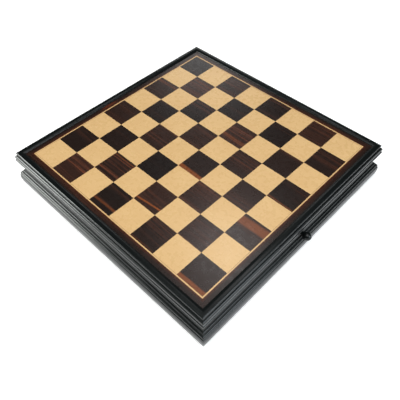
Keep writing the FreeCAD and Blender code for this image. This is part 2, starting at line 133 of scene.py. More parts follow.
def add_node(tree, kind, inputs=None, stops=None, **choices):
    """Adds a node with its settings. inputs maps a socket's name or number to a value or to the socket
    that feeds it; stops are a colour ramp's (position, colour) pairs."""
    node = tree.nodes.new("ShaderNode" + kind)
    for name, value in choices.items():
        setattr(node, name, value)
    for key, value in (inputs or {}).items():
        if isinstance(value, bpy.types.NodeSocket):
            tree.links.new(value, node.inputs[key])
        else:
            node.inputs[key].default_value = value
    if stops:
        ramp = node.color_ramp.elements
        while len(ramp) < len(stops):
            ramp.new(1.0)
        for element, (position, colour) in zip(ramp, stops):
            element.position = position
            element.color = colour
    return node


def calculate(tree, operation, *values, clamp=False):
    """The result of a Math node on these values, each a number or another node's output."""
    return add_node(tree, "Math", dict(enumerate(values)), operation=operation, use_clamp=clamp).outputs[0]


def calculate_vector(tree, operation, *values):
    """The same for a Vector Math node. Some of its operations give one number."""
    node = add_node(tree, "VectorMath", dict(enumerate(values)), operation=operation)
    gives_number = operation in ("DISTANCE", "DOT_PRODUCT", "LENGTH")
    return node.outputs["Value" if gives_number else "Vector"]


def remap(tree, value, low, high, to_low, to_high, curve="LINEAR"):
    """Maps low to to_low and high to to_high, and holds the ends beyond them."""
    ranges = {0: value, 1: low, 2: high, 3: to_low, 4: to_high}
    return add_node(tree, "MapRange", ranges, interpolation_type=curve).outputs[0]


def split(tree, vector):
    """A vector's X, Y and Z."""
    return add_node(tree, "SeparateXYZ", {0: vector}).outputs


def sizes_xy(tree, position):
    """How far a place is from the board's middle along X and along Y."""
    place = split(tree, position)
    return [calculate(tree, "ABSOLUTE", place[axis]) for axis in (0, 1)]


def blend(tree, amount, first, second):
    """Mixes two colours, each a hex code or a node's output."""
    colours = [linear(colour) if isinstance(colour, str) else colour for colour in (first, second)]
    mix = add_node(tree, "Mix", {"Factor": amount, 6: colours[0], 7: colours[1]}, data_type="RGBA")
    return mix.outputs[2]


def blend_numbers(tree, amount, first, second):
    mix = add_node(tree, "Mix", {"Factor": amount, 2: first, 3: second}, data_type="FLOAT")
    return mix.outputs[0]


def start_material(name, **shader):
    """A material with a Principled shader set to these fixed values, and its tree."""
    material = bpy.data.materials.new(name)
    material.use_nodes = True
    tree = material.node_tree
    tree.nodes.clear()
    output = add_node(tree, "OutputMaterial")
    principled = add_node(tree, "BsdfPrincipled", inputs=shader)
    tree.links.new(principled.outputs[0], output.inputs["Surface"])
    return material, tree, principled


def place_mm(tree):
    """Object coordinates in millimetres."""
    coordinates = add_node(tree, "TexCoord")
    mapping = add_node(tree, "Mapping", {0: coordinates.outputs["Object"], "Scale": (MM, MM, MM)})
    return mapping.outputs[0]


def grain_noise(tree, position, per_mm, detail, seed=None):
    """Noise drawn out along the grain: per_mm is how closely it varies along each axis. A seed gives
    another leaf of the same wood."""
    drawn_out = add_node(tree, "Mapping", {0: position, "Scale": per_mm})
    inputs = {"Vector": drawn_out.outputs[0], "Scale": 1.0, "Detail": detail}
    if seed is None:
        return add_node(tree, "TexNoise", inputs).outputs[0]
    inputs["W"] = seed
    return add_node(tree, "TexNoise", inputs, noise_dimensions="4D").outputs[0]


def finish_material(tree, principled, colour, roughness, spread, grain_mm, bump_mm, height=None):
    """Gives the shader its colour, an uneven roughness round a middle value, and a fine bump of that
    depth."""
    tree.links.new(colour, principled.inputs["Base Color"])
    noise = add_node(tree, "TexNoise", {"Vector": place_mm(tree), "Scale": 1 / grain_mm, "Detail": 3})
    rough = remap(tree, noise.outputs[0], 0.3, 0.7, roughness - spread, roughness + spread)
    tree.links.new(rough, principled.inputs["Roughness"])
    bump = add_node(tree, "Bump", {"Strength": 1.0, "Distance": bump_mm / MM,
                                   "Height": height or noise.outputs[0]})
    tree.links.new(bump.outputs[0], principled.inputs["Normal"])


# ---------------------------------------------------------------- veneers
PORE = "#0B0807"                 # bottom of an open pore in the ebony
EDGE_WAVE = 2.4                  # how far a streak's edge wanders, in millimetres

# One leaf for each dark square, counted along the ranks from the front left corner. Red is how strongly
# the leaf is striped, green how brown its ground is and blue how far its stripes are apart.
LEAVES = [
    (0.1, 0.3, 0.3), (0.2, 0.4, 0.5), (0.3, 0.15, 0.4), (0.6, 0.2, 0.3),
    (0.6, 0.45, 0.3), (0.45, 0.35, 0.3), (0.5, 0.25, 0.5), (0.65, 0.3, 0.4),
    (0.55, 0.2, 0.3), (0.55, 0.45, 0.3), (0.6, 0.35, 0.5), (0.15, 0.1, 0.4),
    (0.7, 0.5, 0.4), (0.15, 0.2, 0.3), (0.75, 0.5, 0.5), (0.2, 0.1, 0.5),
    (0.4, 0.1, 0.4), (0.0, 0.05, 0.5), (0.5, 0.4, 0.4), (0.1, 0.1, 0.5),
    (0.85, 0.25, 0.6), (0.5, 0.4, 0.3), (0.35, 0.1, 0.5), (0.55, 0.3, 0.5),
    (0.85, 0.55, 0.35), (0.3, 0.15, 0.4), (0.2, 0.1, 0.4), (0.5, 0.5, 0.5),
    (0.1, 0.15, 0.5), (0.35, 0.35, 0.4), (0.65, 0.35, 0.8), (0.1, 0.1, 0.5),
]
# Sapwood streaks: file, rank, distance of the streak's middle from the square's left edge, width, lean
# over the square, strength. Lengths are in millimetres.
STREAKS = [
    (0, 0, 2.8, 8.0, -1.5, 0.85), (2, 0, 38.0, 17.0, -2.0, 0.78), (4, 0, 2.2, 2.6, 1.0, 0.45),
    (0, 2, 2.0, 1.6, 0.5, 0.2), (1, 3, 9.5, 3.4, -5.0, 0.95), (3, 3, 3.2, 9.5, 0.8, 0.9),
    (5, 3, 12.0, 8.0, 2.0, 0.3), (0, 4, 11.0, 4.0, -1.0, 0.45), (6, 6, 41.0, 6.0, 0.5, 0.2),
    (5, 7, 41.0, 3.0, 0.5, 0.25), (1, 5, 46.0, 3.0, 0.5, 0.25),
]


def ebony_figure(tree, position, leaf_seed, strength, apart):
    """Stripes of Macassar ebony along Y, from 0 in the dark ground to 1 in the brightest stripe. Bands of
    15 to 30 mm are striped or plain, and the stripes in them are 2 to 6 mm apart."""
    sway = remap(tree, grain_noise(tree, position, (0.02, 0.014, 1), 1, leaf_seed), 0, 1, -4, 4)
    offset = add_node(tree, "CombineXYZ", {0: sway})
    swayed = calculate_vector(tree, "ADD", position, offset.outputs[0])
    bands, wide_stripes, fine_stripes = [
        grain_noise(tree, swayed, (1 / spacing, 1 / length, 1 / 40), detail, leaf_seed)
        for spacing, length, detail in ((17.0, 400.0, 0.0), (3.1, 260.0, 1.0), (1.6, 150.0, 2.0))]
    edge = calculate(tree, "MULTIPLY_ADD", strength, 0.42, -0.67)
    above = calculate(tree, "ADD", bands, edge)
    band = calculate(tree, "MULTIPLY_ADD", above, 5.0, 0.35, clamp=True)
    stripes = blend_numbers(tree, apart, fine_stripes, wide_stripes)
    lines = remap(tree, stripes, 0.47, 0.62, 0.0, 1.0)
    depth = calculate(tree, "MULTIPLY_ADD", strength, 0.75, 0.25)
    return calculate(tree, "MULTIPLY", calculate(tree, "MULTIPLY", band, lines), depth)


def ebony_pores(tree, position):
    """Short dark vessel lines along Y, 0.3 mm wide and a few millimetres long."""
    vessels = grain_noise(tree, position, (1 / 0.45, 1 / 14.0, 1 / 3.0), 1)
    return remap(tree, vessels, 0.56, 0.74, 0.0, 0.5)


def ebony_colour(tree, figure, ground_tone):
    """The stripes over a ground between black-brown and brown."""
    board = settings("board")
    ground = blend(tree, ground_tone, board.dark_ground, "#3F261D")
    usual = linear(board.dark_stripe)
    stripes = add_node(tree, "ValToRGB", {0: figure}, [
        (0.0, usual), (0.55, usual), (1.0, linear(board.dark_bright))])
    return blend(tree, figure, ground, stripes.outputs[0])


def square_number(tree, position):
    """The file and rank of a point on the field, as a vector of whole numbers."""
    from_corner = calculate_vector(tree, "ADD", position, (HALF_FIELD, HALF_FIELD, 0))
    squares = calculate_vector(tree, "DIVIDE", from_corner, (SQUARE, SQUARE, 1e6))
    return calculate_vector(tree, "FLOOR", squares)


def leaf_chart(tree, square):
    """Looks up the leaf of a dark square in a stepped ramp, and a seed of its own for each square."""
    place = split(tree, square)
    pair = calculate(tree, "FLOOR", calculate(tree, "MULTIPLY", place[0], 0.5))
    count = calculate(tree, "MULTIPLY_ADD", place[1], FILES / 2, pair)
    step = 1 / len(LEAVES)
    stop = calculate(tree, "MULTIPLY_ADD", count, step, step / 2)
    chart = add_node(tree, "ValToRGB", {0: stop},
                     [(n * step, leaf + (1.0,)) for n, leaf in enumerate(LEAVES)])
    chart.color_ramp.interpolation = "CONSTANT"
    seed = calculate(tree, "MULTIPLY", count, 3.7)
    return add_node(tree, "SeparateColor", {0: chart.outputs[0]}).outputs, seed


def sapwood_mask(tree, position, square):
    """Adds up the sapwood streaks, each in its own square with a soft, wavy edge."""
    wave = grain_noise(tree, position, (0.3, 0.03, 0.1), 2)
    place = split(tree, position)
    wavy_x = calculate(tree, "MULTIPLY_ADD", wave, EDGE_WAVE, place[0])
    total = 0.0
    for file, rank, middle, width, lean, strength in STREAKS:
        centre_x = file * SQUARE - HALF_FIELD + middle + EDGE_WAVE / 2
        centre_y = (rank + 0.5) * SQUARE - HALF_FIELD
        slope = lean / SQUARE
        along = calculate(tree, "MULTIPLY_ADD", place[1], -slope, slope * centre_y - centre_x)
        distance = calculate(tree, "ABSOLUTE", calculate(tree, "ADD", along, wavy_x))
        soft = remap(tree, distance, 0.3 * width, 0.62 * width, strength, 0.0, "SMOOTHSTEP")
        squares_off = calculate_vector(tree, "DISTANCE", square, (file, rank, 0))
        here = calculate(tree, "LESS_THAN", squares_off, 0.5)
        total = calculate(tree, "MULTIPLY_ADD", soft, here, total)
    return total


def finish_ebony(tree, principled, colour, position):
    """Opens the pores of the veneer and gives it its satin lacquer."""
    pores = ebony_pores(tree, position)
    pored = blend(tree, pores, colour, PORE)
    finish_material(tree, principled, pored, settings("board").sheen, 0.03, 9.0, 0.012, pores)


def macassar_squares():
    """Macassar ebony veneer, sliced, sanded flat and sprayed with satin lacquer: nearly black, with
    brown and red-brown stripes, each square from another part of the log."""
    material, tree, principled = start_material("macassar_ebony_squares", IOR=1.5)
    position = place_mm(tree)
    square = square_number(tree, position)
    leaf, seed = leaf_chart(tree, square)
    figure = ebony_figure(tree, position, seed, leaf[0], leaf[2])
    colour = ebony_colour(tree, figure, leaf[1])
    streak_grain = calculate(tree, "MULTIPLY_ADD", figure, 0.5, 0.6)
    mask = sapwood_mask(tree, position, square)
    streaks = calculate(tree, "MULTIPLY", mask, streak_grain, clamp=True)
    streaked = blend(tree, streaks, colour, settings("board").dark_sapwood)
    finish_ebony(tree, principled, streaked, position)
    return material


def macassar_border():
    """The same veneer in four strips, striped along their length, redder beside the pale line and in one
    patch on the strip at +Y."""
    material, tree, principled = start_material("macassar_ebony_border", IOR=1.5)
    position = place_mm(tree)
    place = split(tree, position)
    size_x, size_y = sizes_xy(tree, position)
    on_end = calculate(tree, "GREATER_THAN", size_y, size_x)
    turned = add_node(tree, "CombineXYZ", {0: place[1], 1: place[0], 2: 60.0})
    along = add_node(tree, "Mix", {"Factor": on_end, 4: position, 5: turned.outputs[0]},
                     data_type="VECTOR").outputs[1]
    figure = ebony_figure(tree, along, 7.0, 0.3, 0.3)
    colour = ebony_colour(tree, figure, 0.15)
    outward = calculate(tree, "MAXIMUM", size_x, size_y)
    red = remap(tree, outward, HALF_FIELD + 3.5, HALF_FIELD + 8.5, 0.26, 0.02, "SMOOTHSTEP")
    patch_middle = (-30.0, HALF_FIELD + 9.0, BOARD_Z)
    patch_halves = (26, 5.5)
    off = calculate_vector(tree, "SUBTRACT", position, patch_middle)
    patch_share = calculate_vector(tree, "MULTIPLY", off, [1 / half for half in patch_halves] + [0])
    patch_far = calculate_vector(tree, "LENGTH", patch_share)
    patch = remap(tree, patch_far, 0.3, 1.0, 0.55, 0.0, "SMOOTHSTEP")
    warm = blend(tree, calculate(tree, "MAXIMUM", red, patch), colour, "#6B3017")
    finish_ebony(tree, principled, warm, along)
    return material


def maple_colour(tree, position, seed):
    """Pale gold with faint lines along Y about 2 mm apart and broad cloudy shading."""
    board = settings("board")
    lines = grain_noise(tree, position, (0.5, 0.02, 0.1), 3, seed)
    cloud = add_node(tree, "TexNoise", {"Vector": position, "Scale": 0.045, "Detail": 2, "W": seed},
                     noise_dimensions="4D")
    both = blend_numbers(tree, 0.5, lines, cloud.outputs[0])
    amount = remap(tree, both, 0.35, 0.68, 0.0, 0.6)
    return blend(tree, amount, board.light_ground, board.light_shade)


def finish_maple(tree, principled, colour):
    """Gives the maple veneer its satin lacquer."""
    finish_material(tree, principled, colour, settings("board").sheen, 0.03, 7.0, 0.006)


def maple_squares():
    """Maple veneer under the same satin lacquer: even, pale gold, close grained."""
    material, tree, principled = start_material("maple_squares", IOR=1.5)
    position = place_mm(tree)
    seed = calculate_vector(tree, "DOT_PRODUCT", square_number(tree, position), (1.7, 2.9, 0))
    finish_maple(tree, principled, maple_colour(tree, position, seed))
    return material


def maple_line():
    """Maple stringing with the dark glue line on both of its sides."""
    material, tree, principled = start_material("maple_stringing", IOR=1.5)
    position = place_mm(tree)
    colour = maple_colour(tree, position, 5.0)
    outward = calculate(tree, "MAXIMUM", *sizes_xy(tree, position))
    line_middle = HALF_FIELD + 1.4
    away = calculate(tree, "ABSOLUTE", calculate(tree, "SUBTRACT", outward, line_middle))
    glue = remap(tree, away, 0.75, 1.1, 0.0, 0.8)
    finish_maple(tree, principled, blend(tree, glue, colour, "#5A2E1C"))
    return material


# ---------------------------------------------------------------- case finishes
def black_lacquer():
    """Black polyurethane lacquer, sprayed on moulded wood and rubbed down: deep black, glossy, with
    slight waves and a few duller patches from handling."""
    case = settings("case")
    material, tree, principled = start_material("black_lacquer", IOR=1.35)
    cloud = add_node(tree, "TexNoise", {"Vector": place_mm(tree), "Scale": 1 / 38, "Detail": 2})
    tone = blend(tree, cloud.outputs[0], case.lacquer, "#121616")
    finish_material(tree, principled, tone, case.lacquer_roughness, 0.03, 30.0, 0.004)
    return material


def long_grain(name, along, colour_code, line_code, fleck_code, spacing_mm, fleck_mm, roughness):
    """Solid wood whose grain runs along one axis, with growth lines and short flecks. fleck_mm is a
    fleck's width and length."""
    material, tree, principled = start_material(name, IOR=1.5)
    position = place_mm(tree)
    line_length = 160.0
    lines, flecks = [
        grain_noise(tree, position, [1 / (length if axis == along else width) for axis in range(3)], detail)
        for width, length, detail in ((spacing_mm, line_length, 3), (*fleck_mm, 1))]
    ground = blend(tree, remap(tree, lines, 0.35, 0.68, 0, 1), colour_code, line_code)
    both = blend(tree, remap(tree, flecks, 0.60, 0.70, 0, 0.7), ground, fleck_code)
    finish_material(tree, principled, both, roughness, 0.06, 5.0, 0.03, flecks)
    return material


def beech(along):
    """Beech, planed and waxed: pinkish tan with short dark flecks along the grain."""
    case = settings("case")
    return long_grain("beech_along_" + "xyz"[along], along, case.beech, "#B58556", "#8C5E3A", 3.2,
                      (0.35, 2.6), 0.5)


def plywood():
    """Birch ply, sanded and bare: flat pale faces, and edges with alternate light and dark plies."""
    material, tree, principled = start_material("birch_ply", IOR=1.5)
    position = place_mm(tree)
    grain = grain_noise(tree, position, (0.016, 0.35, 0.4), 4)
    face = blend(tree, grain, settings("case").ply, "#B98F5B")
    ply_thickness = 1.2
    layer = calculate(tree, "PINGPONG", split(tree, position)[2], ply_thickness)
    dark_layer = remap(tree, layer, 0.5, 0.7, 0, 0.75)
    normal = add_node(tree, "NewGeometry").outputs["True Normal"]
    upright = calculate(tree, "ABSOLUTE", split(tree, normal)[2])
    edge = calculate(tree, "LESS_THAN", upright, 0.5)
    on_edge = calculate(tree, "MULTIPLY", edge, dark_layer)
    both = blend(tree, on_edge, face, "#8F6438")
    finish_material(tree, principled, both, 0.62, 0.05, 2.0, 0.03, grain)
    return material


def zinc_steel():
    """Bright zinc-plated steel: pale grey metal with a faint brushed unevenness."""
    material, tree, principled = start_material("zinc_plated_steel", Metallic=1.0)
    noise = add_node(tree, "TexNoise", {"Vector": place_mm(tree), "Scale": 0.8, "Detail": 3})
    tone = blend(tree, noise.outputs[0], "#C9CACB", "#9C9EA1")
    finish_material(tree, principled, tone, 0.32, 0.08, 0.9, 0.01)
    return material


def green_felt():
    """Pressed wool felt: matt green with short fibres about 0.3 mm thick lying every way. They are drawn
    twice as coarse as real ones, so that they show."""
    material, tree, principled = start_material(
        "green_wool_felt", **{"IOR": 1.45, "Specular IOR Level": 0.2, "Sheen Weight": 0.45,
                              "Sheen Roughness": 0.5, "Sheen Tint": linear("#8FB89A")})
    position = place_mm(tree)
    fibres = add_node(tree, "TexNoise", {"Vector": position, "Scale": 1 / 0.7, "Detail": 4,
                                         "Distortion": 1.6}).outputs[0]
    cloud = add_node(tree, "TexNoise", {"Vector": position, "Scale": 1 / 24, "Detail": 2}).outputs[0]
    amount = remap(tree, blend_numbers(tree, 0.3, fibres, cloud), 0.3, 0.7, 0, 1)
    tone = blend(tree, amount, "#173A25", settings("case").felt)
    finish_material(tree, principled, tone, 0.92, 0.05, 0.8, 0.25, fibres)
    return material


def polished_maple():
    """Turned maple under a polish: pale gold with fine lines along the man's length."""
    men = settings("men")
    return long_grain("polished_maple", 1, men.maple, "#CFA265", "#B98A50", 2.4, (0.4, 3.0), 0.28)


def polished_ebony():
    """Turned ebony under a polish: black-brown with faint brown lines along the man's length."""
    men = settings("men")
    return long_grain("polished_ebony", 1, men.ebony, "#3D2A22", "#100B0A", 2.0, (0.35, 4.0), 0.24)


# ---------------------------------------------------------------- mesh helpers
def deselect_all():
    if bpy.context.object and bpy.context.object.mode != "OBJECT":
        bpy.ops.object.mode_set(mode="OBJECT")
    bpy.ops.object.select_all(action="DESELECT")


def select_only(obj):
    deselect_all()
    obj.select_set(True)
    bpy.context.view_layer.objects.active = obj


def finish_piece(obj, name, material, body, replaced):
    """Bakes the piece's place into its mesh, gives it its finish and fixes it to a body."""
    select_only(obj)
    bpy.ops.object.transform_apply(location=True, rotation=True, scale=True)
    obj.name = name
    obj.data.name = name
    obj.data.materials.clear()
    obj.data.materials.append(material)
    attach(obj, body)
    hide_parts(replaced)


def felt_sheet(name, node, body, material, cells):
    """A laid sheet of felt as large as its CAD solid, with a softened edge and a slightly uneven face."""
    low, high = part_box(node)
    deselect_all()
    size = high - low
    centre = (low + high) / 2
    bpy.ops.mesh.primitive_grid_add(x_subdivisions=cells, y_subdivisions=cells, size=1,
                                    location=(centre.x, centre.y, low.z))
    sheet = bpy.context.object
    sheet.scale = (size.x, size.y, 1)
    bpy.ops.object.transform_apply(location=False, rotation=False, scale=True)
    bpy.ops.object.mode_set(mode="EDIT")
    bpy.ops.mesh.select_all(action="SELECT")
    bpy.ops.mesh.extrude_region_move(TRANSFORM_OT_translate={"value": (0, 0, size.z)})
    bpy.ops.mesh.select_all(action="SELECT")
    bpy.ops.mesh.normals_make_consistent(inside=False)
    bpy.ops.object.mode_set(mode="OBJECT")
    dip = settings("case").felt_drop
    random.seed(11)
    half = size / 2
    for vertex in sheet.data.vertices:
        at_edge = abs(abs(vertex.co.x) - half.x) < 1e-5 or abs(abs(vertex.co.y) - half.y) < 1e-5
        if vertex.co.z > size.z / 2:
            vertex.co.z -= dip * (2.0 if at_edge else random.random())
    bpy.ops.object.shade_smooth_by_angle(angle=math.radians(50))
    finish_piece(sheet, name, material, body, node)


# ---------------------------------------------------------------- knights' heads
# Places are in millimetres on a knight who stands on Z = 0 and looks along +X.
COLLAR = 15.0                    # top of the foot, where the head begins
COLLAR_RADIUS = 8.9
COLLAR_HEIGHT = 2.4
COARSE = 0.7                     # mesh size while the outline is rounded over
FINE = 0.42                      # mesh size for the knife cuts
KNIGHT_LEAN = math.atan2(9.0, 47.1)      # how far a lying knight leans past level
KNIGHT_TURN = {"maple": 0.0, "ebony": math.pi}
CARVED_BALLS = [                 # middle, half sizes
    ((-0.8, 0, 22.0), (8.6, 8.4, 9.0)),      # root of the neck
    ((-3.0, 0, 33.0), (6.2, 6.6, 11.0)),     # neck
    ((-0.6, 0, 45.0), (6.0, 5.4, 6.5)),      # poll
    ((3.4, 0, 43.4), (5.8, 5.6, 6.6)),       # brow and cheek
    ((4.2, 0, 39.4), (4.4, 6.2, 4.8)),       # jaw
    ((8.4, 0, 37.0), (4.2, 4.0, 4.4)),       # nose
    ((10.6, 0, 34.0), (2.9, 3.5, 2.6)),      # muzzle
    ((5.2, 0, 22.5), (4.2, 6.6, 6.6)),       # chest
]
PAIRED_BALLS = [                 # the same on both sides: middle on the left side, half sizes
    ((11.3, 2.5, 34.9), (1.5, 1.3, 1.4)),    # rim of the nostril
    ((5.6, 4.4, 45.4), (2.6, 1.3, 1.0)),     # brow over the eye
    ((5.9, 4.7, 43.6), (1.35, 0.95, 1.15)),  # eye
]


def ball(middle, half_sizes):
    bpy.ops.mesh.primitive_uv_sphere_add(segments=28, ring_count=18, radius=1, location=Vector(middle) / MM,
                                         scale=Vector(half_sizes) / MM)
    return bpy.context.object


def join_all(pieces):
    deselect_all()
    for piece in pieces:
        piece.select_set(True)
    bpy.context.view_layer.objects.active = pieces[0]
    bpy.ops.object.join()
    bpy.ops.object.transform_apply(location=True, rotation=True, scale=True)
    return pieces[0]


def apply_modifier(obj, kind, **choices):
    select_only(obj)
    modifier = obj.modifiers.new(kind.title(), kind)
    for name, value in choices.items():
        setattr(modifier, name, value)
    bpy.ops.object.modifier_apply(modifier=modifier.name)


def upright_blank(wood):
    """A copy of the left head's CAD solid stood upright, and the shift from there to its place."""
    feet_x = [v.co.x for v in NODES[wood + "_knight_feet"].data.vertices if v.co.x < 0]
    turn = KNIGHT_TURN[wood]
    blank = bpy.data.objects.new("knight_blank", NODES[wood + "_knight_heads"].data.copy())
    bpy.context.collection.objects.link(blank)
    select_only(blank)
    bpy.ops.object.mode_set(mode="EDIT")
    bpy.ops.mesh.select_all(action="SELECT")
    bpy.ops.mesh.remove_doubles(threshold=0.000001)
    bpy.ops.mesh.select_all(action="DESELECT")
    bpy.ops.object.mode_set(mode="OBJECT")
    for vertex in blank.data.vertices:
        vertex.select = vertex.co.x > 0
    bpy.ops.object.mode_set(mode="EDIT")
    bpy.ops.mesh.delete(type="VERT")
    bpy.ops.object.mode_set(mode="OBJECT")
    for angles in ((0, 0, turn), (math.pi / 2 + KNIGHT_LEAN, 0, 0)):
        blank.rotation_euler = angles
        bpy.ops.object.transform_apply(location=False, rotation=True, scale=False)
    ys = [v.co.y for v in blank.data.vertices]
    shift = Vector(((min(feet_x) + max(feet_x)) / 2 * math.cos(turn), (min(ys) + max(ys)) / 2,
                    min(v.co.z for v in blank.data.vertices) - COLLAR / MM))
    blank.location = -shift
    bpy.ops.object.transform_apply(location=True, rotation=False, scale=False)
    return blank, shift


def ear(side):
    """A pricked ear, hollow in front, leaning a little outwards."""
    bpy.ops.mesh.primitive_cone_add(vertices=24, radius1=2.3 / MM, radius2=0.5 / MM, depth=9.5 / MM,
                                    location=Vector((1.2, 2.7 * side, 53.0)) / MM,
                                    rotation=(math.radians(-9 * side), math.radians(9), 0))
    cone = bpy.context.object
    hollow = ball((3.6, 3.3 * side, 54.4), (1.9, 1.1, 4.0))
    apply_modifier(cone, "BOOLEAN", operation="DIFFERENCE", object=hollow)
    bpy.data.objects.remove(hollow)
    return cone


def soft_step(value, low, high):
    """Rises smoothly from 0 at low to 1 at high."""
    t = min(max((value - low) / (high - low), 0.0), 1.0)
    return t * t * (3 - 2 * t)


def line_distance(x, z, x1, z1, x2, z2):
    """Distance in the side view from a point to a stretch of line."""
    along = ((x - x1) * (x2 - x1) + (z - z1) * (z2 - z1)) / ((x2 - x1) ** 2 + (z2 - z1) ** 2)
    along = min(max(along, 0.0), 1.0)
    return math.hypot(x - x1 - along * (x2 - x1), z - z1 - along * (z2 - z1))


def groove(distance, half_width):
    """A rounded cut: 1 in its middle, fading to both sides."""
    return math.exp(-(distance / half_width) ** 2)


def knife_depth(x, z):
    """How deep the carver cut at this place in the side view, as a share of the mane's depth: locks of the
    mane behind a line from the ear to the shoulder, the mouth, the nostrils and the line under the jaw."""
    edge = -1.4 - 0.12 * (49.0 - z) + 1.1 * math.sin(z / 3.1)
    above_neck = soft_step(z, COLLAR + 5.0, COLLAR + 8.0)
    mane = soft_step(edge - x, 0.0, 1.2) * above_neck * soft_step(54.0 - z, 0.0, 2.5)
    lock_width = 3.0
    lock = 0.5 + 0.5 * math.cos((z + 0.95 * x + 0.8 * math.sin(x / 1.9)) * 2 * math.pi / lock_width)
    rim = 1.1 * groove(edge - x, 0.6) * above_neck * soft_step(50.0 - z, 0.0, 2.5)
    mouth = 1.5 * groove(line_distance(x, z, 13.5, 33.6, 8.6, 34.4), 0.55)
    nostril = 2.0 * groove(line_distance(x, z, 12.4, 34.6, 11.8, 35.5), 0.6)
    jaw_x, jaw_z, jaw_radius = 3.4, 41.0, 4.9
    from_jaw = abs(math.hypot(x - jaw_x, z - jaw_z) - jaw_radius)
    jaw = 0.9 * groove(from_jaw, 0.6) * soft_step(jaw_z - z, 0.5, 3.0)
    return max(mane * lock ** 3 * 1.5, rim, mouth, nostril, jaw)


def carved_head():
    """A carved horse's head, upright: the sawn outline rounded over, with neck, cheeks, muzzle, ears and
    eyes worked out of it, and then the knife cuts."""
    blank = upright_blank("maple")[0]
    apply_modifier(blank, "REMESH", mode="VOXEL", voxel_size=COARSE / MM)
    apply_modifier(blank, "SMOOTH", factor=0.6, iterations=40)
    for vertex in blank.data.vertices:
        vertex.co.y *= 0.98 - 0.5 * soft_step(vertex.co.z * MM - COLLAR, 2.0, 22.0)
    pieces = [blank] + [ball(*shape) for shape in CARVED_BALLS] + [ear(-1), ear(1)]
    for (x, y, z), half_sizes in PAIRED_BALLS:
        pieces += [ball((x, y * side, z), half_sizes) for side in (-1, 1)]
    bpy.ops.mesh.primitive_cylinder_add(vertices=64, radius=COLLAR_RADIUS / MM, depth=COLLAR_HEIGHT / MM,
                                        location=(0, 0, (COLLAR + COLLAR_HEIGHT / 2) / MM))
    pieces.append(bpy.context.object)
    head = join_all(pieces)
    apply_modifier(head, "REMESH", mode="VOXEL", voxel_size=FINE / MM)
    apply_modifier(head, "SMOOTH", factor=0.5, iterations=4)
    depth = settings("men").carving
    normals = [n.vector.copy() for n in head.data.vertex_normals]
    for vertex, normal in zip(head.data.vertices, normals):
        vertex.co -= normal * depth * knife_depth(vertex.co.x * MM, vertex.co.z * MM)
    apply_modifier(head, "SMOOTH", factor=0.4, iterations=1)
    return head


def lay_heads(head, wood, material):
    """Lays two copies of the carved head where the CAD solids of this colour lie."""
    blank, shift = upright_blank(wood)
    bpy.data.objects.remove(blank)
    copies = []
    for side in (-1, 1):
        one = bpy.data.objects.new("knight_head", head.data.copy())
        bpy.context.collection.objects.link(one)
        select_only(one)
        one.location = (side * shift.x, shift.y, shift.z)
        bpy.ops.object.transform_apply(location=True, rotation=False, scale=False)
        for angles in ((-math.pi / 2 - KNIGHT_LEAN, 0, 0), (0, 0, -KNIGHT_TURN[wood])):
            one.rotation_euler = angles
            bpy.ops.object.transform_apply(location=False, rotation=True, scale=False)
        copies.append(one)
    both = join_all(copies)
    bpy.ops.object.shade_smooth_by_angle(angle=math.radians(60))
    finish_piece(both, wood + "_knight_carvings", material, "drawer", wood + "_knight_heads")


# ---------------------------------------------------------------- operators
def dress(names, material):
    """Gives CAD nodes their finish."""
    for name in names:
        mesh = NODES[name].data
        mesh.materials.clear()
        mesh.materials.append(material)


class CHESS_OT_board(bpy.types.Operator):
    """Finish the inlaid playing board"""
    bl_idname = "chess.board"
    bl_label = "Playing board"

    def execute(self, context):
        dress(["dark_squares"], macassar_squares())
        dress(["border_veneer"], macassar_border())
        dress(["light_squares"], maple_squares())
        dress(["stringing_line"], maple_line())
        dress(["board_core", "backing_veneer"], plywood())
        return {"FINISHED"}


class CHESS_OT_case(bpy.types.Operator):
    """Finish the moulded case and its inside"""
    bl_idname = "chess.case"
    bl_label = "Case"

    def execute(self, context):
        lacquer = black_lacquer()
        dress([n for n in NODES if n.startswith(("frame_", "wall_", "front_return_"))], lacquer)
        dress(["bottom_panel"], plywood())
        dress(["drawer_guide_left", "drawer_guide_right"], beech(1))
        dress(["glue_blocks", "rear_stop_blocks", "stop_batten"], beech(0))
        dress(["bottom_screws"], zinc_steel())
        return {"FINISHED"}


class CHESS_OT_drawer(bpy.types.Operator):
    """Finish the drawer, its dividers and its knob"""
    bl_idname = "chess.drawer"
    bl_label = "Drawer"

    def execute(self, context):
        dress(["drawer_front", "drawer_knob"], black_lacquer())
        dress(["drawer_side_left", "drawer_side_right", "long_dividers"], beech(1))
        dress(["drawer_back", "stop_cleat", "cross_dividers"], beech(0))
        dress(["drawer_bottom"], plywood())
        dress(["knob_screw"], zinc_steel())
        return {"FINISHED"}


class CHESS_OT_felt(bpy.types.Operator):
    """Make the tray's felt and the baize under the case"""
    bl_idname = "chess.felt"
    bl_label = "Felt"

    def execute(self, context):
        felt = green_felt()
        felt_sheet("tray_felt_sheet", "tray_felt", "drawer", felt, 120)
        felt_sheet("bottom_baize_sheet", "bottom_baize", "case", felt, 60)
        return {"FINISHED"}


class CHESS_OT_men(bpy.types.Operator):
    """Finish the chessmen"""
    bl_idname = "chess.men"
    bl_label = "Chessmen"

    def execute(self, context):
        woods = {"maple": polished_maple(), "ebony": polished_ebony()}
        head = carved_head()
        for wood, material in woods.items():
            dress([n for n in NODES if n.startswith(wood + "_")], material)
            lay_heads(head, wood, material)
        bpy.data.objects.remove(head)
        return {"FINISHED"}


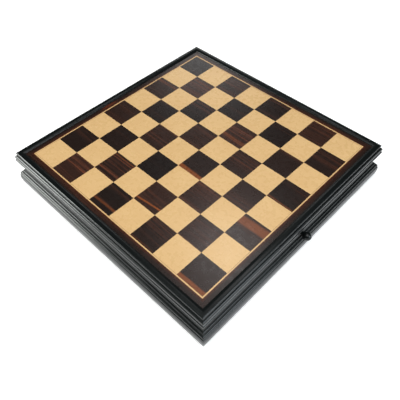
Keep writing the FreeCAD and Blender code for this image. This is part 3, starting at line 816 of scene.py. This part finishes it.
SOFTBOXES = [                    # name, place, aim, width, height, watts, colour
    ("left_window", (-1.8, 1.78, 0.75), (-0.2, 0.15, 0.05), 0.7, 1.4, 66.0, "#FAFFFA"),
    ("left_wall", (-2.14, 1.29, 0.7), (-0.2, 0.0, 0.05), 0.9, 1.3, 8.0, "#FAFFFA"),
    ("front_panel", (0.38, -1.9, 0.8), (-0.1, -0.2, 0.04), 0.95, 0.75, 31.0, "#D4DFE6"),
    ("near_sheen", (0.62, 0.42, 1.53), (-0.12, -0.17, 0.07), 0.3, 0.3, 1.6, "#FFFFFF"),
    ("far_sheen", (1.95, 1.8, 1.5), (0.2, 0.19, 0.07), 0.8, 0.6, 3.4, "#FFFFFF"),
]
FLOOR_DROP = 0.0003              # the floor lies this far under the case, so that they don't flicker
CAMERA_PLACE = (-0.4269, -0.4231, 0.6584)
CAMERA_TURN = (39.758, 0.624, -46.042)       # degrees about X, Y and Z


def area_light(name, place, aim, width, height, watts, colour):
    """A softbox at a place, facing a point, hidden from the camera."""
    bpy.ops.object.light_add(type="AREA", location=place)
    light = bpy.context.object
    light.name = name
    light.data.shape = "RECTANGLE"
    light.data.size = width
    light.data.size_y = height
    light.data.energy = watts
    light.data.color = linear(colour)[:3]
    light.rotation_euler = (Vector(place) - Vector(aim)).to_track_quat("Z", "Y").to_euler()
    light.visible_camera = False


class CHESS_OT_studio(bpy.types.Operator):
    """Set the pale floor, the soft lights and the camera"""
    bl_idname = "chess.studio"
    bl_label = "Studio"

    def execute(self, context):
        studio = settings("studio")
        deselect_all()
        bpy.ops.mesh.primitive_circle_add(vertices=96, radius=14, fill_type="NGON",
                                          location=(0, 0, -FLOOR_DROP))
        floor = context.object
        floor.name = "studio_floor"
        material = start_material("studio_floor", **{
            "Base Color": linear(studio.floor), "Roughness": 0.9, "Specular IOR Level": 0.1,
            "Emission Color": linear("#FFFFFF"), "Emission Strength": 0.36})[0]
        floor.data.materials.append(material)
        self.make_world(context)
        area_light("key_softbox", (-0.5, -0.6, 2.2), (0, 0, 0), 2.0, 2.0, studio.key_power, "#FFFFFF")
        for softbox in SOFTBOXES:
            area_light(*softbox)
        bpy.ops.object.camera_add(location=CAMERA_PLACE, rotation=[math.radians(a) for a in CAMERA_TURN])
        camera = context.object
        camera.data.lens = studio.lens
        camera.data.sensor_width = 36
        camera.data.clip_start = 0.01
        context.scene.camera = camera
        context.scene.view_settings.view_transform = "Standard"
        context.scene.view_settings.look = "None"
        return {"FINISHED"}

    def make_world(self, context):
        """Pale walls up to about 15 degrees above the floor and a darker ceiling."""
        world = bpy.data.worlds.new("studio_world")
        context.scene.world = world
        world.use_nodes = True
        tree = world.node_tree
        tree.nodes.clear()
        direction = add_node(tree, "TexCoord")
        height = add_node(tree, "SeparateXYZ", {0: direction.outputs["Generated"]})
        ramp = add_node(tree, "ValToRGB", {0: height.outputs[2]}, [
            (0.0, grey(0.6)), (0.04, grey(0.35)), (0.12, grey(0.03)), (0.72, grey(0.015)), (0.93, grey(0.05)),
            (1.0, grey(0.3))])
        background = add_node(tree, "Background", {0: ramp.outputs[0], 1: 1.0})
        output = add_node(tree, "OutputWorld")
        tree.links.new(background.outputs[0], output.inputs[0])


class CHESS_PT_panel(bpy.types.Panel):
    """Steps that build the chess set"""
    bl_idname = "CHESS_PT_panel"
    bl_label = "Chess set"
    bl_space_type = "VIEW_3D"
    bl_region_type = "UI"
    bl_category = "Chess set"

    def draw(self, context):
        for step in STEPS:
            self.layout.operator("chess." + step)
        for group in GROUPS:
            box = self.layout.box()
            for name in GROUPS[group].__annotations__:
                box.prop(settings(group), name)


STEPS = ["board", "case", "drawer", "felt", "men", "studio"]
GROUPS = {"board": ChessBoardSettings, "case": CaseSettings, "men": MenSettings, "studio": StudioSettings}
CLASSES = [*GROUPS.values(), CHESS_OT_board, CHESS_OT_case, CHESS_OT_drawer, CHESS_OT_felt, CHESS_OT_men,
           CHESS_OT_studio, CHESS_PT_panel]


def register():
    for cls in CLASSES:
        bpy.utils.register_class(cls)
    for name, group in GROUPS.items():
        setattr(bpy.types.Scene, "chess_" + name, bpy.props.PointerProperty(type=group))


def unregister():
    for name in GROUPS:
        delattr(bpy.types.Scene, "chess_" + name)
    for cls in reversed(CLASSES):
        bpy.utils.unregister_class(cls)


def main():
    register()
    for step in STEPS:
        getattr(bpy.ops.chess, step)()


if __name__ == "__main__":
    main()
